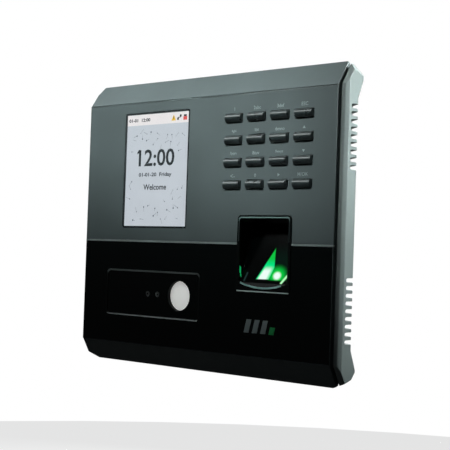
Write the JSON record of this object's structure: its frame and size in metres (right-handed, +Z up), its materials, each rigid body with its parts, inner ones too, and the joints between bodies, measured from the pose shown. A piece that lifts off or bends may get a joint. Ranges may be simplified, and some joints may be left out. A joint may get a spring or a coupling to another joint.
{
  "type": "fingerprint scanner terminal",
  "caption": "Wall-mounted access terminal with portrait screen, keypad, sloping finger sensor, camera window and flash, hooked on a steel wall plate",
  "frame": {"origin": "centre of the four wall screw holes on the back face of the wall plate", "axes": "+Y into the wall, -Y out of the terminal's face, +Z up, +X to the right as seen from the front"},
  "size_m": [0.1684, 0.0322, 0.148],
  "materials": {
    "key_plastic": "moulded, soft shine",
    "plate_steel": "zinc plated, satin",
    "screw_steel": "plated",
    "housing_plastic": "fine moulded texture",
    "cover_plastic": "fine moulded texture",
    "gloss_panel": "high gloss",
    "trim": "satin grey",
    "clear_window": "clear, glossy",
    "gasket_foam": "matt",
    "display": "lit picture",
    "silicone": "matt",
    "board_green": "solder mask",
    "shield": "tin plated",
    "guide_plastic": "polished black",
    "sensor_glass": "polished",
    "black_plastic": "moulded",
    "smoked_window": "high gloss",
    "lens_black": "glossy",
    "diffuser_white": "opal",
    "board_white": "white mask",
    "speaker_black": "paper and plastic",
    "cell_steel": "polished",
    "header_cream": "moulded",
    "relay_blue": "moulded",
    "ribbon_amber": "polyimide",
    "ribbon_white": "polyester",
    "mark_grey": "printed",
    "plunger_plastic": "moulded"
  },
  "bodies": {
    "wall_mount": {"wall_plate": "plate_steel"},
    "locking_screw": {"locking_screw": "screw_steel"},
    "terminal": {"rear_housing": "housing_plastic", "front_cover": "cover_plastic", "lower_panel": "gloss_panel", "trim_strip": "trim", "screen_window": "clear_window", "window_gasket": "gasket_foam", "lcd_module": "display", "keypad_mat": "silicone", "keypad_board": "board_green", "main_board": "board_green", "shield_can": "shield", "finger_guide": "guide_plastic", "finger_glass": "sensor_glass", "finger_prism": "sensor_glass", "finger_case": "black_plastic", "finger_light_board": "board_green", "finger_sensor_board": "board_green", "camera_window": "smoked_window", "camera_board": "board_green", "camera_lenses": "lens_black", "flash_disc": "diffuser_white", "flash_board": "board_white", "speaker": "speaker_black", "speaker_ring": "gasket_foam", "clock_cell": "cell_steel", "cell_holder": "black_plastic", "lan_socket": "shield", "usb_socket": "shield", "power_jack": "black_plastic", "wire_header": "header_cream", "lock_relay": "relay_blue", "screen_ribbon": "ribbon_amber", "keypad_ribbon": "ribbon_white", "finger_ribbon": "ribbon_white", "camera_ribbon": "ribbon_amber", "case_screws": "screw_steel", "board_screws": "screw_steel", "badge": "mark_grey", "tamper_switch": "black_plastic"},
    "tamper": {"tamper_plunger": "plunger_plastic"},
    "key_1_cap": {"key_1": "key_plastic"},
    "key_2_cap": {"key_2": "key_plastic"},
    "key_3_cap": {"key_3": "key_plastic"},
    "key_esc_cap": {"key_esc": "key_plastic"},
    "key_4_cap": {"key_4": "key_plastic"},
    "key_5_cap": {"key_5": "key_plastic"},
    "key_6_cap": {"key_6": "key_plastic"},
    "key_up_cap": {"key_up": "key_plastic"},
    "key_7_cap": {"key_7": "key_plastic"},
    "key_8_cap": {"key_8": "key_plastic"},
    "key_9_cap": {"key_9": "key_plastic"},
    "key_down_cap": {"key_down": "key_plastic"},
    "key_back_cap": {"key_back": "key_plastic"},
    "key_0_cap": {"key_0": "key_plastic"},
    "key_next_cap": {"key_next": "key_plastic"},
    "key_ok_cap": {"key_ok": "key_plastic"}
  },
  "joints": [
    {"name": "terminal_lift", "type": "slide", "parent": "wall_mount", "child": "terminal", "axis": [0, 0, 1], "range_m": [0, 0.006]},
    {"name": "locking_screw_withdraw", "type": "slide", "parent": "wall_mount", "child": "locking_screw", "axis": [0, 0, -1], "range_m": [0, 0.0075]},
    {"name": "tamper_press", "type": "slide", "parent": "terminal", "child": "tamper", "axis": [0, -1, 0], "range_m": [0, 0.0008], "stiffness_N_per_m": 300, "springref_m": -0.0002},
    {"name": "key_1_press", "type": "slide", "parent": "terminal", "child": "key_1_cap", "axis": [0, 1, 0], "range_m": [0, 0.0008], "stiffness_N_per_m": 900, "springref_m": -0.0003},
    {"name": "key_2_press", "type": "slide", "parent": "terminal", "child": "key_2_cap", "axis": [0, 1, 0], "range_m": [0, 0.0008], "stiffness_N_per_m": 900, "springref_m": -0.0003},
    {"name": "key_3_press", "type": "slide", "parent": "terminal", "child": "key_3_cap", "axis": [0, 1, 0], "range_m": [0, 0.0008], "stiffness_N_per_m": 900, "springref_m": -0.0003},
    {"name": "key_esc_press", "type": "slide", "parent": "terminal", "child": "key_esc_cap", "axis": [0, 1, 0], "range_m": [0, 0.0008], "stiffness_N_per_m": 900, "springref_m": -0.0003},
    {"name": "key_4_press", "type": "slide", "parent": "terminal", "child": "key_4_cap", "axis": [0, 1, 0], "range_m": [0, 0.0008], "stiffness_N_per_m": 900, "springref_m": -0.0003},
    {"name": "key_5_press", "type": "slide", "parent": "terminal", "child": "key_5_cap", "axis": [0, 1, 0], "range_m": [0, 0.0008], "stiffness_N_per_m": 900, "springref_m": -0.0003},
    {"name": "key_6_press", "type": "slide", "parent": "terminal", "child": "key_6_cap", "axis": [0, 1, 0], "range_m": [0, 0.0008], "stiffness_N_per_m": 900, "springref_m": -0.0003},
    {"name": "key_up_press", "type": "slide", "parent": "terminal", "child": "key_up_cap", "axis": [0, 1, 0], "range_m": [0, 0.0008], "stiffness_N_per_m": 900, "springref_m": -0.0003},
    {"name": "key_7_press", "type": "slide", "parent": "terminal", "child": "key_7_cap", "axis": [0, 1, 0], "range_m": [0, 0.0008], "stiffness_N_per_m": 900, "springref_m": -0.0003},
    {"name": "key_8_press", "type": "slide", "parent": "terminal", "child": "key_8_cap", "axis": [0, 1, 0], "range_m": [0, 0.0008], "stiffness_N_per_m": 900, "springref_m": -0.0003},
    {"name": "key_9_press", "type": "slide", "parent": "terminal", "child": "key_9_cap", "axis": [0, 1, 0], "range_m": [0, 0.0008], "stiffness_N_per_m": 900, "springref_m": -0.0003},
    {"name": "key_down_press", "type": "slide", "parent": "terminal", "child": "key_down_cap", "axis": [0, 1, 0], "range_m": [0, 0.0008], "stiffness_N_per_m": 900, "springref_m": -0.0003},
    {"name": "key_back_press", "type": "slide", "parent": "terminal", "child": "key_back_cap", "axis": [0, 1, 0], "range_m": [0, 0.0008], "stiffness_N_per_m": 900, "springref_m": -0.0003},
    {"name": "key_0_press", "type": "slide", "parent": "terminal", "child": "key_0_cap", "axis": [0, 1, 0], "range_m": [0, 0.0008], "stiffness_N_per_m": 900, "springref_m": -0.0003},
    {"name": "key_next_press", "type": "slide", "parent": "terminal", "child": "key_next_cap", "axis": [0, 1, 0], "range_m": [0, 0.0008], "stiffness_N_per_m": 900, "springref_m": -0.0003},
    {"name": "key_ok_press", "type": "slide", "parent": "terminal", "child": "key_ok_cap", "axis": [0, 1, 0], "range_m": [0, 0.0008], "stiffness_N_per_m": 900, "springref_m": -0.0003}
  ]
}
